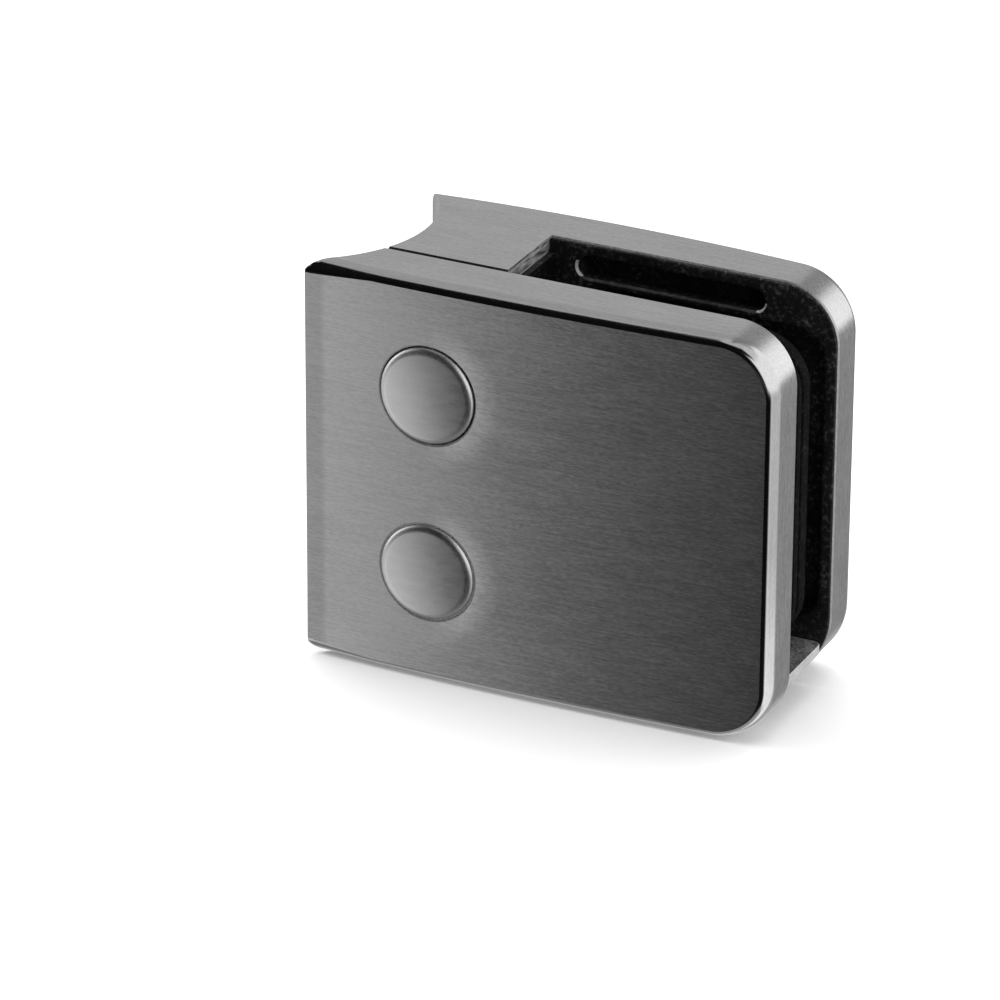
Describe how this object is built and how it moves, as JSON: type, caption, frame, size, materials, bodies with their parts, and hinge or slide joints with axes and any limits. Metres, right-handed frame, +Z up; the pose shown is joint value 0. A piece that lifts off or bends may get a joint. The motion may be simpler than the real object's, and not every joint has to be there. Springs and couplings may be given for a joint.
{
  "type": "glass panel clamp",
  "caption": "Square glass clamp for a round post: crowned brushed stainless body and cover, domed sleeve nuts, black rubber pads and a shelf under the glass edge",
  "frame": {"origin": "middle of the outer box in X and Y, on the flat bottom", "axes": "+X along the width from the post side to the open end, +Y from the front face to the rear face, +Z up"},
  "size_m": [0.0784, 0.037, 0.067],
  "materials": {
    "cast_steel": "satin brushed along the width, casting ground and brushed",
    "head_steel": "fine satin, turned",
    "screw_steel": "plain bright",
    "plate_steel": "plain rolled sheet",
    "pad_rubber": "moulded, matte"
  },
  "bodies": {
    "body": {"rear_body": "cast_steel", "rear_pad": "pad_rubber"},
    "cover": {"front_cover": "cast_steel", "sleeve_nut_upper": "head_steel", "sleeve_nut_lower": "head_steel", "front_pad": "pad_rubber", "safety_plate": "plate_steel", "plate_screw_left": "screw_steel", "plate_screw_right": "screw_steel"},
    "screw_upper": {"clamp_screw_upper": "screw_steel"},
    "screw_lower": {"clamp_screw_lower": "screw_steel"}
  },
  "joints": [
    {"name": "cover_open", "type": "slide", "parent": "body", "child": "cover", "axis": [0, -1, 0], "range_m": [0, 0.006]},
    {"name": "screw_upper_turn", "type": "hinge", "parent": "body", "child": "screw_upper", "pos_m": [-0.018, 0.013, 0.04845], "axis": [0, 1, 0], "range_deg": [0, 1730]},
    {"name": "screw_lower_turn", "type": "hinge", "parent": "body", "child": "screw_lower", "pos_m": [-0.018, 0.013, 0.01855], "axis": [0, 1, 0], "range_deg": [0, 1730]}
  ],
  "couplings": [
    {"joint": "screw_upper_turn", "follows": "cover_open", "rad_per_m": 5026.5},
    {"joint": "screw_lower_turn", "follows": "cover_open", "rad_per_m": 5026.5}
  ]
}
